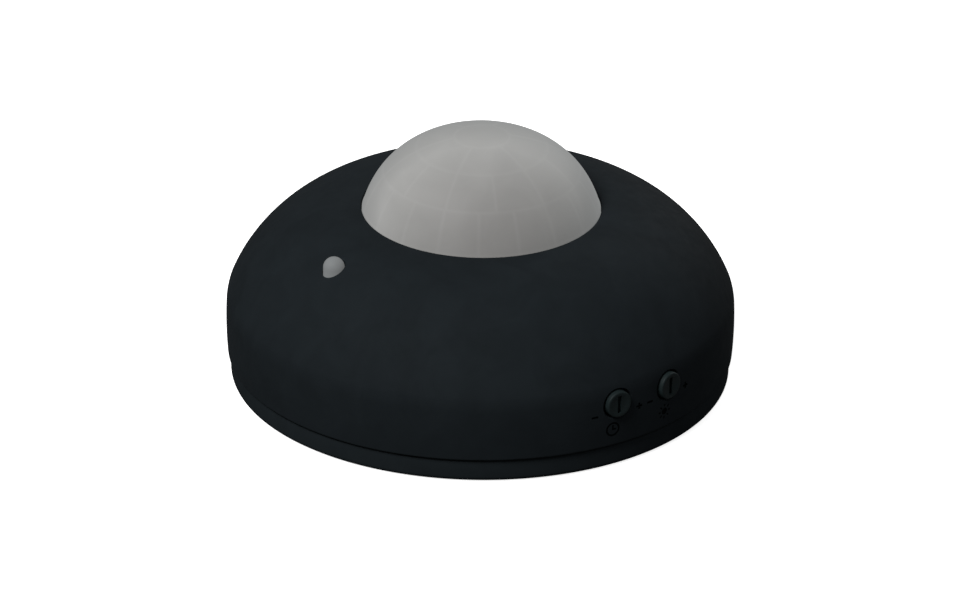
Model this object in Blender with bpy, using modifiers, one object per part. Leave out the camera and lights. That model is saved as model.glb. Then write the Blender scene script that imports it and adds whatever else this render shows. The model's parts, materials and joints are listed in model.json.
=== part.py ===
"""Ceiling motion sensor: a domed head that twists onto a round base plate.

Metres, +Z up. The origin is the centre of the base plate's mounting face, and +Z runs
along the dome's axis. -Y points between the two adjusters and -X passes through the
light-guide pin. A bearing is an angle about +Z, counted from -Y towards +X.
"""

from math import cos, pi, radians, sin

import bmesh
import bpy
from mathutils import Vector

MM = 0.001
GAP = 0.3 * MM                      # clearance between neighbouring pieces
TURN_STEPS = 60                     # facets around the large turned pieces
SMALL_STEPS = 20                    # facets around small turned pieces

# Housing
HOUSING_RADIUS = 57.5 * MM          # widest point of the skirt
HOUSING_WALL = 2.0 * MM
SKIRT_WALL = 2.3 * MM
SEAM_HEIGHT = 5.5 * MM              # lower edge of the housing
BELLY_HEIGHT = 13.5 * MM            # where the skirt is widest
CREASE_HEIGHT = 18.9 * MM           # soft kink between skirt and domed top
SKIRT_CROWN = 5.6                   # skirt radius falls by this times height squared
SKIRT_HEIGHTS = (18.6 * MM, 16.5 * MM, BELLY_HEIGHT, 9.5 * MM, 6.1 * MM)
LENS_OPENING = 27.0 * MM
SHOULDER = ((57.4 * MM, 19.0 * MM), (53.7 * MM, 30.0 * MM),
            (42.1 * MM, 41.9 * MM), (26.7 * MM, 40.7 * MM))

# Lens
LENS_RADIUS = 26.7 * MM
LENS_FOOT = 40.7 * MM
LENS_TOP = 58.3 * MM
LENS_WALL = 1.0 * MM
LENS_DOME = ((0.0, LENS_TOP), (7.0 * MM, LENS_TOP),
             (22.0 * MM, 56.2 * MM), (LENS_RADIUS, LENS_FOOT))
FLANGE_RADIUS = 30.0 * MM
FLANGE_TOP = 38.2 * MM
FLANGE_THICKNESS = 1.0 * MM

# Base plate
BASE_RADIUS = 56.5 * MM
BASE_CHAMFER = 1.0 * MM
BASE_FLOOR = 2.0 * MM
BASE_HEIGHT = 5.15 * MM
COLLAR_RADIUS = 53.2 * MM
COLLAR_WALL = 1.8 * MM
COLLAR_TOP = 9.5 * MM
CABLE_OPENING = 20.0 * MM
CABLE_LIP = 1.2 * MM                # thickness of the raised lip around the cable opening
CABLE_LIP_TOP = 3.4 * MM
FIXING_SPACING = 60.0 * MM          # between the two slots, along X
FIXING_WIDTH = 4.5 * MM
FIXING_TRAVEL = 6.0 * MM
ROUND_FIXING_SPACING = 76.0 * MM    # between the two round holes, along Y

# Bayonet between base plate and housing
BAYONET_BEARINGS = (30.0, 150.0, 270.0)
LUG_WIDTH = 9.4 * MM
LEDGE_WIDTH = 11.3 * MM
LUG_DEPTH = 2.0 * MM
LEDGE_DEPTH = 2.4 * MM
STOP_WIDTH = 1.2 * MM
CATCH_THICKNESS = 1.4 * MM
LEDGE_HEIGHT = 6.7 * MM             # middle of a ledge
LUG_HEIGHT = LEDGE_HEIGHT + CATCH_THICKNESS + GAP

# Circuit boards
BOARD_THICKNESS = 1.6 * MM
MAIN_BOARD_RADIUS = 50.0 * MM
MAIN_BOARD_BOTTOM = 9.0 * MM
MAIN_BOARD_TOP = MAIN_BOARD_BOTTOM + BOARD_THICKNESS
PART_FOOT = MAIN_BOARD_TOP + GAP    # where parts stand on the main board
BOARD_SCREW_CIRCLE = 44.0 * MM
BOARD_SCREW_BEARINGS = (60.0, 180.0, 300.0)
BOARD_SCREW_LENGTH = 8.0 * MM
BOARD_BOSS_RADIUS = 3.25 * MM
BOARD_BOSS_HOLE_DEPTH = 8.0 * MM
SENSOR_BOARD_RADIUS = 15.0 * MM
SENSOR_BOARD_BOTTOM = 22.4 * MM
SENSOR_BOARD_TOP = SENSOR_BOARD_BOTTOM + BOARD_THICKNESS
STANDOFF_RADIUS = 2.5 * MM
STANDOFF_SPACING = 22.0 * MM
LINK_SIZE = Vector((2.5, 10.2)) * MM
LINK_POSITION = -11.0 * MM

# Lens retainer
RETAINER_TOP = FLANGE_TOP - FLANGE_THICKNESS - GAP
RETAINER_RADIUS = 31.0 * MM
RETAINER_THICKNESS = 1.6 * MM
RETAINER_EAR_RADIUS = 3.2 * MM
RETAINER_SCREW_CIRCLE = 33.5 * MM
RETAINER_SCREW_BEARINGS = (0.0, 120.0, 240.0)
RETAINER_SCREW_BITE = 1.7 * MM      # how far a screw's tip reaches into its boss
RETAINER_BOSS_RADIUS = 2.5 * MM
RETAINER_BOSS_HOLE_DEPTH = 2.0 * MM

# Self-tapping screws
SCREW_SHANK = 1.1 * MM
SCREW_HOLE = 1.4 * MM
SCREW_HEAD = 2.2 * MM
SCREW_HEAD_HEIGHT = 1.5 * MM

# Light guide
PIN_RADIUS = 2.4 * MM
PIN_POSITION = -41.8 * MM
PIN_TOP = 40.0 * MM
PIN_COLLAR_RADIUS = 3.3 * MM
PIN_COLLAR_TOP = 30.5 * MM
PIN_COLLAR_THICKNESS = 1.0 * MM
PIN_STEM_RADIUS = 2.1 * MM
PIN_FOOT_RADIUS = 1.6 * MM
PIN_FOOT = 15.5 * MM

# Adjusters
ADJUSTER_BEARINGS = {"time": -6.7, "lux": 8.0}
ADJUSTER_HEIGHT = 15.8 * MM
KNOB_RADIUS = 3.1 * MM
KNOB_FACE = 0.8 * MM                # how far the face stands out of the skirt
KNOB_BACK = -2.0 * MM
KNOB_HOLE = 3.6 * MM
KNOB_SLOT = Vector((1.1, 4.2, 1.8)) * MM
SHAFT_RADIUS = 1.5 * MM
BLADE_SIZE = Vector((0.8, 2.2, 2.4)) * MM
TRIMMER_SIZE = Vector((9.0, 10.0, 5.0)) * MM
TRIMMER_FRONT = 46.5 * MM           # distance of a trimmer's front face from the axis
TRIMMER_RECESS_DEPTH = 1.6 * MM
ROTOR_RADIUS = 2.7 * MM
ROTOR_THICKNESS = 1.8 * MM
ROTOR_FRONT = TRIMMER_FRONT + 0.5 * MM
ROTOR_GROOVE = Vector((1.4, 8.0, 2.4)) * MM

# Pyroelectric sensor, with heights above the foot of its can
SEAT_RADIUS = 4.8 * MM
SEAT_HEIGHT = 1.5 * MM
CAN_RADIUS = 4.05 * MM
CAN_RIM_RADIUS = 4.6 * MM
CAN_RIM_HEIGHT = 0.6 * MM
CAN_HEIGHT = 4.2 * MM
WINDOW_POCKET = Vector((4.6, 3.6, 2.0)) * MM
WINDOW_SIZE = Vector((4.0, 3.0, 0.8)) * MM

# Boxes on the main board: name, size, position, edge bevel
RELAY = ("relay", Vector((19.0, 15.5, 15.3)) * MM, Vector((30.0, 3.0)) * MM, 0.5 * MM)
MAINS_CAPACITOR = ("mains_capacitor", Vector((18.0, 8.5, 14.5)) * MM,
                   Vector((20.0, 27.0)) * MM, 0.4 * MM)
RECTIFIER = ("bridge_rectifier", Vector((6.5, 8.5, 3.4)) * MM,
             Vector((-28.0, 4.0)) * MM, 0.4 * MM)
CHIP = ("controller_chip", Vector((8.7, 4.0, 1.6)) * MM, Vector((0.0, -27.0)) * MM, 0.2 * MM)

# Round parts on the main board: name, radius, length, position
SMOOTHING_CAPACITOR = ("smoothing_capacitor", 5.0 * MM, 11.5 * MM, Vector((-13.0, 27.0)) * MM)
SUPPLY_CAPACITOR = ("supply_capacitor", 3.15 * MM, 10.5 * MM, Vector((-26.0, 20.0)) * MM)
FUSE = ("fuse", 4.2 * MM, 7.7 * MM, Vector((-20.0, -22.0)) * MM)
VARISTOR = ("varistor", 4.5 * MM, 3.6 * MM, Vector((21.0, -24.0)) * MM)
PHOTOCELL = ("photocell", 2.2 * MM, 3.6 * MM, Vector((PIN_POSITION, 0.0)))
INDICATOR = ("indicator_light", 1.5 * MM, 4.8 * MM, Vector((9.5, 4.0)) * MM)
VARISTOR_LEAD = 0.1 * MM            # how far the varistor stands off the board

# Terminal block
POLE_PITCH = 5.0 * MM
BLOCK_SIZE = Vector((16.4, 8.6, 7.5)) * MM
BLOCK_CENTRE = Vector((0.0, 7.5, 4.95)) * MM
CAGE_SIZE = Vector((3.8, 7.0, 4.1)) * MM
CLAMP_SIZE = Vector((3.2, 5.4, 3.5)) * MM
WIRE_WAY = Vector((2.2, 8.0, 1.7)) * MM
SCREW_WELL_RADIUS = 1.9 * MM
SCREW_WELL_DEPTH = 2.1 * MM
TERMINAL_SCREW_SCALE = 0.75
TERMINAL_SCREW_HEAD_HEIGHT = 1.2 * MM
TERMINAL_SCREW_LENGTH = 2.1 * MM


def clear_scene():
    for item in list(bpy.data.objects):
        bpy.data.objects.remove(item, do_unlink=True)


def collection(name):
    group = bpy.data.collections.new(name)
    bpy.context.scene.collection.children.link(group)
    return group


clear_scene()
PARTS = collection("ceiling_motion_sensor")
TOOLS = collection("tools")


def material(name, colour, roughness, metallic=0.0, transmission=0.0):
    made = bpy.data.materials.new(name)
    made.use_nodes = True
    shader = made.node_tree.nodes["Principled BSDF"]
    shader.inputs["Base Color"].default_value = (*colour, 1.0)
    shader.inputs["Roughness"].default_value = roughness
    shader.inputs["Metallic"].default_value = metallic
    shader.inputs["Transmission Weight"].default_value = transmission
    return made


def add_object(name, mesh, group, finish=None):
    made = bpy.data.objects.new(name, mesh)
    group.objects.link(made)
    if finish:
        mesh.materials.append(finish)
    if group is TOOLS:
        made.hide_render = True
        made.display_type = "WIRE"
    return made


def from_bmesh(name, shape, group, finish=None):
    mesh = bpy.data.meshes.new(name)
    shape.to_mesh(mesh)
    shape.free()
    return add_object(name, mesh, group, finish)


def shade_round(item):
    item.data.shade_smooth()
    item.data.set_sharp_from_angle(angle=radians(30))


def turned(name, profile, group, finish=None, steps=TURN_STEPS, ring=False):
    """Turn (radius, height) points about local Z; a ring's profile is a closed loop."""
    mesh = bpy.data.meshes.new(name)
    points = [(radius, 0.0, height) for radius, height in profile]
    edges = [(index, index + 1) for index in range(len(points) - 1)]
    if ring:
        edges.append((len(points) - 1, 0))
    mesh.from_pydata(points, edges, [])
    made = add_object(name, mesh, group, finish)
    turn = made.modifiers.new("turn", "SCREW")
    turn.angle = 2 * pi
    turn.steps = steps
    turn.render_steps = steps
    turn.use_merge_vertices = True
    turn.merge_threshold = 0.00001
    turn.use_smooth_shade = steps > 8
    return made


def box(name, size, group, finish=None, bevel=0.0):
    """A box centred on its origin, with small edge bevels if asked for."""
    shape = bmesh.new()
    bmesh.ops.create_cube(shape, size=1.0)
    bmesh.ops.scale(shape, vec=Vector(size), verts=shape.verts)
    made = from_bmesh(name, shape, group, finish)
    if bevel:
        edges = made.modifiers.new("edges", "BEVEL")
        edges.width = bevel
        edges.segments = 1
    return made


def cylinder(name, radius, height, group, finish=None, steps=SMALL_STEPS):
    """A cylinder centred on its origin, along local Z."""
    shape = bmesh.new()
    bmesh.ops.create_cone(shape, cap_ends=True, segments=steps, radius1=radius,
                          radius2=radius, depth=height)
    made = from_bmesh(name, shape, group, finish)
    shade_round(made)
    return made


def boolean(target, tool, operation):
    step = target.modifiers.new(tool.name, "BOOLEAN")
    step.operation = operation
    step.solver = "EXACT"
    step.object = tool


def cut(target, tool):
    boolean(target, tool, "DIFFERENCE")


def join(target, tool):
    boolean(target, tool, "UNION")


def place(item, position, parent=None, rotation=(0.0, 0.0, 0.0)):
    item.location = position
    item.rotation_euler = rotation
    item.parent = parent
    return item


def at_bearing(bearing, radius, height):
    angle = radians(bearing)
    return Vector((radius * sin(angle), -radius * cos(angle), height))


def facing_out(bearing):
    """Rotation that points local Z away from the axis at a bearing."""
    return (radians(90), 0.0, radians(bearing))


def bezier(points, count):
    """Points along a cubic curve, both ends included."""
    first, second, third, last = (Vector(point) for point in points)
    places = []
    for index in range(count):
        t = index / (count - 1)
        u = 1.0 - t
        places.append(u ** 3 * first + 3 * u * u * t * second
                      + 3 * u * t * t * third + t ** 3 * last)
    return places


def inset(places, distance):
    """A curve moved sideways, to the left of its own direction."""
    moved = []
    for index, point in enumerate(places):
        before = places[max(index - 1, 0)]
        after = places[min(index + 1, len(places) - 1)]
        along = (after - before).normalized()
        moved.append(point + distance * Vector((-along.y, along.x)))
    return moved


def skirt_radius(height):
    return HOUSING_RADIUS - SKIRT_CROWN * (height - BELLY_HEIGHT) ** 2


def empty(name, position, rotation=(0.0, 0.0, 0.0), parent=None):
    made = bpy.data.objects.new(name, None)
    PARTS.objects.link(made)
    made.empty_display_size = 0.01
    return place(made, position, parent, rotation)


BLACK = material("black_housing", (0.012, 0.014, 0.016), 0.55)
BLACK_BASE = material("black_base", (0.011, 0.013, 0.015), 0.6)
FROSTED = material("frosted_lens", (0.36, 0.36, 0.35), 0.45, transmission=0.3)
CLEAR_GREY = material("light_guide", (0.30, 0.31, 0.32), 0.3, transmission=0.5)
KNOB_PLASTIC = material("knob_plastic", (0.02, 0.023, 0.024), 0.45)
GREY_PLASTIC = material("grey_plastic", (0.25, 0.26, 0.27), 0.5)
BOARD_GREEN = material("board_green", (0.02, 0.12, 0.05), 0.4)
STEEL = material("steel", (0.6, 0.6, 0.6), 0.3, metallic=1.0)
BRASS = material("brass", (0.65, 0.5, 0.25), 0.3, metallic=1.0)
DARK_GLASS = material("dark_glass", (0.03, 0.03, 0.035), 0.1)
COMPONENT_BLACK = material("component_black", (0.02, 0.02, 0.02), 0.45)
RELAY_BLUE = material("relay_blue", (0.03, 0.1, 0.3), 0.4)
CAPACITOR_YELLOW = material("capacitor_yellow", (0.6, 0.45, 0.08), 0.45)
CERAMIC_BLUE = material("ceramic_blue", (0.05, 0.2, 0.45), 0.35)
TERMINAL_GREEN = material("terminal_green", (0.05, 0.3, 0.1), 0.45)
TRIMMER_BLUE = material("trimmer_blue", (0.05, 0.15, 0.5), 0.4)
WHITE_NYLON = material("white_nylon", (0.75, 0.75, 0.72), 0.5)
LED_RED = material("led_red", (0.6, 0.03, 0.02), 0.2, transmission=0.4)


def housing_bosses():
    """Pillars under the domed top, trimmed inside its wall, with blind screw holes."""
    middle = inset(bezier(SHOULDER, 9), HOUSING_WALL / 2)
    profile = [(0.0, middle[-1].y)]
    profile += [tuple(point) for point in reversed(middle)]
    profile += [(middle[0].x, 0.0), (0.0, 0.0)]
    envelope = turned("boss_envelope", profile, TOOLS)
    specs = [("board_boss", BOARD_SCREW_CIRCLE, bearing, BOARD_BOSS_RADIUS, PART_FOOT,
              BOARD_BOSS_HOLE_DEPTH) for bearing in BOARD_SCREW_BEARINGS]
    specs += [("retainer_boss", RETAINER_SCREW_CIRCLE, bearing, RETAINER_BOSS_RADIUS,
               RETAINER_TOP + GAP, RETAINER_BOSS_HOLE_DEPTH)
              for bearing in RETAINER_SCREW_BEARINGS]
    bosses = []
    holes = []
    for kind, circle, bearing, radius, foot, depth in specs:
        height = LENS_FOOT - foot
        boss = cylinder(f"{kind}_{bearing:.0f}", radius, height, TOOLS, steps=16)
        place(boss, at_bearing(bearing, circle, foot + height / 2))
        boolean(boss, envelope, "INTERSECT")
        bosses.append(boss)
        hole = cylinder(f"{kind}_hole_{bearing:.0f}", SCREW_HOLE, 2 * depth, TOOLS, steps=12)
        place(hole, at_bearing(bearing, circle, foot))
        holes.append(hole)
    return bosses, holes


def housing_ledges():
    """Bayonet ledges inside the skirt, each with a stop at its far end."""
    pieces = []
    ledge_bottom = LEDGE_HEIGHT - CATCH_THICKNESS / 2
    stop_height = LUG_HEIGHT + CATCH_THICKNESS / 2 - ledge_bottom
    reach = COLLAR_RADIUS + GAP + LEDGE_DEPTH / 2
    for bearing in BAYONET_BEARINGS:
        turn = (0.0, 0.0, radians(bearing))
        ledge = box(f"ledge_{bearing:.0f}", (LEDGE_WIDTH, LEDGE_DEPTH, CATCH_THICKNESS), TOOLS)
        place(ledge, at_bearing(bearing, reach, LEDGE_HEIGHT), rotation=turn)
        pieces.append(ledge)
        stop = box(f"stop_{bearing:.0f}", (STOP_WIDTH, LEDGE_DEPTH, stop_height), TOOLS)
        offset = Vector((cos(radians(bearing)), sin(radians(bearing)), 0.0))
        offset *= LUG_WIDTH / 2 + 2 * GAP + STOP_WIDTH / 2
        middle = at_bearing(bearing, reach, ledge_bottom + stop_height / 2)
        place(stop, middle + offset, rotation=turn)
        pieces.append(stop)
    return pieces


def make_housing(head):
    outer = bezier(SHOULDER, 10)
    inner = inset(bezier(SHOULDER, 7), HOUSING_WALL)
    rim = LENS_OPENING
    roof = [point for point in outer if point.x > rim + 0.8 * MM]
    underside = [point for point in inner if point.x > rim + 0.8 * MM]
    underside = [point for point in underside if point.x < HOUSING_RADIUS - SKIRT_WALL]
    profile = [(rim, LENS_FOOT - 0.7 * MM), (rim + 0.5 * MM, LENS_FOOT - 0.05 * MM)]
    profile += [tuple(point) for point in reversed(roof)]
    for height in SKIRT_HEIGHTS:
        profile.append((skirt_radius(height), height))
    profile.append((skirt_radius(SEAM_HEIGHT) - 0.3 * MM, SEAM_HEIGHT))
    inner_radius = HOUSING_RADIUS - SKIRT_WALL
    profile.append((inner_radius, SEAM_HEIGHT))
    profile.append((inner_radius, CREASE_HEIGHT - 0.8 * MM))
    profile += [tuple(point) for point in underside]
    profile.append((rim, LENS_FOOT - HOUSING_WALL))
    housing = turned("housing", profile, PARTS, BLACK, ring=True)
    bosses, holes = housing_bosses()
    for piece in bosses + housing_ledges():
        join(housing, piece)
    for hole in holes:
        cut(housing, hole)
    pin_hole = cylinder("pin_hole", PIN_RADIUS + GAP, 20 * MM, TOOLS)
    place(pin_hole, (PIN_POSITION, 0.0, PIN_TOP - 5 * MM))
    cut(housing, pin_hole)
    for name, bearing in ADJUSTER_BEARINGS.items():
        hole = cylinder(f"{name}_knob_hole", KNOB_HOLE, 8 * MM, TOOLS)
        place(hole, at_bearing(bearing, HOUSING_RADIUS, ADJUSTER_HEIGHT),
              rotation=facing_out(bearing))
        cut(housing, hole)
    housing.parent = head


def make_lens(head):
    dome = bezier(LENS_DOME, 10)
    inside = inset(bezier(LENS_DOME, 7), -LENS_WALL)
    inside[0].x = 0.0
    foot = FLANGE_TOP - FLANGE_THICKNESS
    profile = [tuple(point) for point in dome]
    profile += [(LENS_RADIUS, FLANGE_TOP), (FLANGE_RADIUS, FLANGE_TOP)]
    profile += [(FLANGE_RADIUS, foot), (LENS_RADIUS - LENS_WALL, foot)]
    profile += [tuple(point) for point in reversed(inside)]
    lens = turned("fresnel_lens", profile, PARTS, FROSTED, steps=40)
    lens.parent = head


def screw(name, head_down, length, finish=STEEL):
    """A pan-head screw pointing up, with its origin where the head meets the shank."""
    profile = [(0.0, length), (0.5 * SCREW_SHANK, length), (SCREW_SHANK, length - 0.6 * MM),
               (SCREW_SHANK, 0.0), (SCREW_HEAD, 0.0), (SCREW_HEAD, -0.6 * head_down),
               (0.6 * SCREW_HEAD, -head_down), (0.0, -head_down)]
    made = turned(name, profile, PARTS, finish, steps=12)
    slot = box(f"{name}_slot", (6 * MM, 0.6 * MM, 1.2 * MM), TOOLS)
    slot.parent = made
    slot.location = (0.0, 0.0, -head_down)
    cut(made, slot)
    return made


def make_retainer(head):
    bottom = RETAINER_TOP - RETAINER_THICKNESS
    inner = LENS_RADIUS - LENS_WALL
    profile = [(RETAINER_RADIUS, RETAINER_TOP), (RETAINER_RADIUS, bottom), (inner, bottom),
               (inner, RETAINER_TOP)]
    ring = turned("lens_retainer", profile, PARTS, GREY_PLASTIC, steps=40, ring=True)
    for index, bearing in enumerate(RETAINER_SCREW_BEARINGS, start=1):
        spot = at_bearing(bearing, RETAINER_SCREW_CIRCLE, bottom + RETAINER_THICKNESS / 2)
        ear = cylinder(f"ear_{index}", RETAINER_EAR_RADIUS, RETAINER_THICKNESS, TOOLS)
        place(ear, spot)
        join(ring, ear)
    for index, bearing in enumerate(RETAINER_SCREW_BEARINGS, start=1):
        spot = at_bearing(bearing, RETAINER_SCREW_CIRCLE, bottom)
        hole = cylinder(f"ear_hole_{index}", SCREW_HOLE, 8 * MM, TOOLS, steps=12)
        place(hole, spot)
        cut(ring, hole)
        length = RETAINER_THICKNESS + 2 * GAP + RETAINER_SCREW_BITE
        fastener = screw(f"retainer_screw_{index}", SCREW_HEAD_HEIGHT, length)
        place(fastener, spot - Vector((0, 0, GAP)), head)
    ring.parent = head


def make_light_guide(head):
    dome_centre = PIN_TOP - PIN_RADIUS
    profile = []
    for index in range(7):
        angle = radians(90 - 15 * index)
        profile.append((PIN_RADIUS * cos(angle), PIN_RADIUS * sin(angle)))
    profile[0] = (0.0, PIN_RADIUS)
    collar = PIN_COLLAR_TOP - dome_centre
    foot = PIN_FOOT - dome_centre
    underside = collar - PIN_COLLAR_THICKNESS
    profile += [(PIN_RADIUS, collar), (PIN_COLLAR_RADIUS, collar),
                (PIN_COLLAR_RADIUS, underside), (PIN_STEM_RADIUS, underside - 0.6 * MM),
                (PIN_FOOT_RADIUS, foot), (0.0, foot)]
    guide = turned("light_guide", profile, PARTS, CLEAR_GREY, steps=SMALL_STEPS)
    place(guide, (PIN_POSITION, 0.0, dome_centre), head)


def make_base():
    inner = COLLAR_RADIUS - COLLAR_WALL
    lip = CABLE_OPENING + CABLE_LIP
    profile = [(COLLAR_RADIUS - 0.4 * MM, COLLAR_TOP), (COLLAR_RADIUS, COLLAR_TOP - 0.4 * MM),
               (COLLAR_RADIUS, BASE_HEIGHT), (BASE_RADIUS - 0.4 * MM, BASE_HEIGHT),
               (BASE_RADIUS, BASE_HEIGHT - 0.4 * MM), (BASE_RADIUS, BASE_CHAMFER),
               (BASE_RADIUS - BASE_CHAMFER, 0.0), (CABLE_OPENING, 0.0),
               (CABLE_OPENING, CABLE_LIP_TOP), (lip, CABLE_LIP_TOP), (lip, BASE_FLOOR),
               (inner, BASE_FLOOR), (inner, COLLAR_TOP)]
    base = turned("base_plate", profile, PARTS, BLACK_BASE, ring=True)
    for bearing in BAYONET_BEARINGS:
        lug = box(f"lug_{bearing:.0f}", (LUG_WIDTH, LUG_DEPTH, CATCH_THICKNESS), TOOLS)
        reach = COLLAR_RADIUS - 0.5 * MM + LUG_DEPTH / 2
        place(lug, at_bearing(bearing, reach, LUG_HEIGHT), rotation=(0, 0, radians(bearing)))
        join(base, lug)
    for side in (-1, 1):
        centre = side * FIXING_SPACING / 2
        slot = box(f"fixing_slot_{side}", (FIXING_TRAVEL, FIXING_WIDTH, 8 * MM), TOOLS)
        place(slot, (centre, 0.0, 0.0))
        for end in (-1, 1):
            curve = cylinder(f"slot_end_{side}_{end}", FIXING_WIDTH / 2, 8 * MM, TOOLS)
            place(curve, (centre + end * FIXING_TRAVEL / 2, 0.0, 0.0))
            join(slot, curve)
        cut(base, slot)
        hole = cylinder(f"fixing_hole_{side}", FIXING_WIDTH / 2, 8 * MM, TOOLS)
        place(hole, (0.0, side * ROUND_FIXING_SPACING / 2, 0.0))
        cut(base, hole)


def make_boards(head):
    main = cylinder("main_board", MAIN_BOARD_RADIUS, BOARD_THICKNESS, PARTS, BOARD_GREEN,
                    steps=TURN_STEPS)
    place(main, (0, 0, MAIN_BOARD_BOTTOM + BOARD_THICKNESS / 2), head)
    for index, bearing in enumerate(BOARD_SCREW_BEARINGS, start=1):
        spot = at_bearing(bearing, BOARD_SCREW_CIRCLE, MAIN_BOARD_BOTTOM)
        hole = cylinder(f"board_hole_{index}", SCREW_HOLE, 8 * MM, TOOLS, steps=12)
        place(hole, spot)
        cut(main, hole)
        fastener = screw(f"board_screw_{index}", SCREW_HEAD_HEIGHT, BOARD_SCREW_LENGTH)
        place(fastener, spot - Vector((0, 0, GAP)), head)
    sensor = cylinder("sensor_board", SENSOR_BOARD_RADIUS, BOARD_THICKNESS, PARTS,
                      BOARD_GREEN, steps=36)
    place(sensor, (0, 0, SENSOR_BOARD_BOTTOM + BOARD_THICKNESS / 2), head)
    height = SENSOR_BOARD_BOTTOM - GAP - PART_FOOT
    middle = PART_FOOT + height / 2
    for index, side in enumerate((-1, 1), start=1):
        standoff = cylinder(f"sensor_standoff_{index}", STANDOFF_RADIUS, height, PARTS,
                            WHITE_NYLON, steps=6)
        place(standoff, (0.0, side * STANDOFF_SPACING / 2, middle), head)
    link = box("board_link", (*LINK_SIZE, height), PARTS, COMPONENT_BLACK, 0.2 * MM)
    place(link, (LINK_POSITION, 0.0, middle), head)


def make_pyro_sensor(head):
    seat_foot = SENSOR_BOARD_TOP + GAP
    seat = cylinder("pyro_seat", SEAT_RADIUS, SEAT_HEIGHT, PARTS, WHITE_NYLON)
    place(seat, (0, 0, seat_foot + SEAT_HEIGHT / 2), head)
    can_foot = seat_foot + SEAT_HEIGHT + GAP
    profile = [(0.0, CAN_HEIGHT), (CAN_RADIUS - 0.3 * MM, CAN_HEIGHT),
               (CAN_RADIUS, CAN_HEIGHT - 0.3 * MM), (CAN_RADIUS, CAN_RIM_HEIGHT),
               (CAN_RIM_RADIUS, CAN_RIM_HEIGHT), (CAN_RIM_RADIUS, 0.0), (0.0, 0.0)]
    can = turned("pyro_sensor", profile, PARTS, STEEL, steps=SMALL_STEPS)
    place(can, (0, 0, can_foot), head)
    pocket = box("pyro_pocket", WINDOW_POCKET, TOOLS)
    place(pocket, (0, 0, CAN_HEIGHT), can)
    cut(can, pocket)
    window = box("pyro_window", WINDOW_SIZE, PARTS, DARK_GLASS)
    window_foot = can_foot + CAN_HEIGHT - WINDOW_POCKET.z / 2 + GAP
    place(window, (0, 0, window_foot + WINDOW_SIZE.z / 2), head)


def lamp(name, radius, height, position, foot, head, finish):
    """A round-topped component standing on its flat foot."""
    profile = []
    for index in range(5):
        angle = radians(90 - 22.5 * index)
        profile.append((radius * cos(angle), height - radius + radius * sin(angle)))
    profile[0] = (0.0, height)
    profile += [(radius, 0.8 * MM), (radius * 1.2, 0.8 * MM), (radius * 1.2, 0.0), (0.0, 0.0)]
    made = turned(name, profile, PARTS, finish, steps=16)
    place(made, (*position, foot), head)


def can_capacitor(name, radius, height, position, head):
    """An electrolytic capacitor with the groove rolled in above its seal."""
    profile = [(0.0, height), (radius - 0.4 * MM, height), (radius, height - 0.4 * MM),
               (radius, 2.4 * MM), (radius - 0.5 * MM, 2.0 * MM), (radius, 1.6 * MM),
               (radius, 0.0), (0.0, 0.0)]
    made = turned(name, profile, PARTS, COMPONENT_BLACK, steps=SMALL_STEPS)
    place(made, (*position, PART_FOOT), head)


def standing_box(name, size, position, bevel, head, finish):
    made = box(name, size, PARTS, finish, bevel)
    place(made, (*position, PART_FOOT + size.z / 2), head)


def make_components(head):
    standing_box(*RELAY, head, RELAY_BLUE)
    standing_box(*MAINS_CAPACITOR, head, CAPACITOR_YELLOW)
    standing_box(*RECTIFIER, head, COMPONENT_BLACK)
    standing_box(*CHIP, head, COMPONENT_BLACK)
    can_capacitor(*SMOOTHING_CAPACITOR, head)
    can_capacitor(*SUPPLY_CAPACITOR, head)
    name, radius, length, position = FUSE
    fuse = cylinder(name, radius, length, PARTS, COMPONENT_BLACK)
    place(fuse, (*position, PART_FOOT + length / 2), head)
    name, radius, length, position = VARISTOR
    varistor = cylinder(name, radius, length, PARTS, CERAMIC_BLUE)
    place(varistor, (*position, PART_FOOT + VARISTOR_LEAD + radius), head, (radians(90), 0, 0))
    lamp(*PHOTOCELL, PART_FOOT, head, DARK_GLASS)
    lamp(*INDICATOR, SENSOR_BOARD_TOP + GAP, head, LED_RED)


def make_terminal_block(head):
    block = box("terminal_block", BLOCK_SIZE, PARTS, TERMINAL_GREEN, 0.3 * MM)
    place(block, BLOCK_CENTRE, head)
    bottom = BLOCK_CENTRE.z - BLOCK_SIZE.z / 2
    front = BLOCK_CENTRE.y - BLOCK_SIZE.y / 2
    cage_foot = bottom + SCREW_WELL_DEPTH + GAP
    cage_centre = Vector((0.0, front + CAGE_SIZE.y / 2 - 1.0 * MM, cage_foot + CAGE_SIZE.z / 2))
    for index, pole in enumerate((-1, 0, 1), start=1):
        across = Vector((pole * POLE_PITCH, 0.0, 0.0))
        entry = place(box(f"entry_{index}", CAGE_SIZE, TOOLS), cage_centre + across)
        cut(block, entry)
        column = Vector((0.0, front + 3.2 * MM, bottom)) + across
        well = cylinder(f"well_{index}", SCREW_WELL_RADIUS, 2 * SCREW_WELL_DEPTH, TOOLS, steps=16)
        place(well, column)
        cut(block, well)
        way = cylinder(f"way_{index}", SCREW_HOLE, 8.0 * MM, TOOLS, steps=12)
        place(way, column)
        piece = box(f"terminal_clamp_{index}", CLAMP_SIZE, PARTS, BRASS)
        middle = Vector((across.x, column.y, cage_centre.z))
        place(piece, middle, head)
        wire_way = place(box(f"wire_way_{index}", WIRE_WAY, TOOLS), middle)
        cut(piece, wire_way)
        cut(piece, way)
        cut(block, way)
        fastener = screw(f"terminal_screw_{index}", TERMINAL_SCREW_HEAD_HEIGHT,
                         TERMINAL_SCREW_LENGTH)
        fastener.scale = (TERMINAL_SCREW_SCALE, TERMINAL_SCREW_SCALE, 1.0)
        place(fastener, column + Vector((0, 0, 1.7 * MM)), head)


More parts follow.
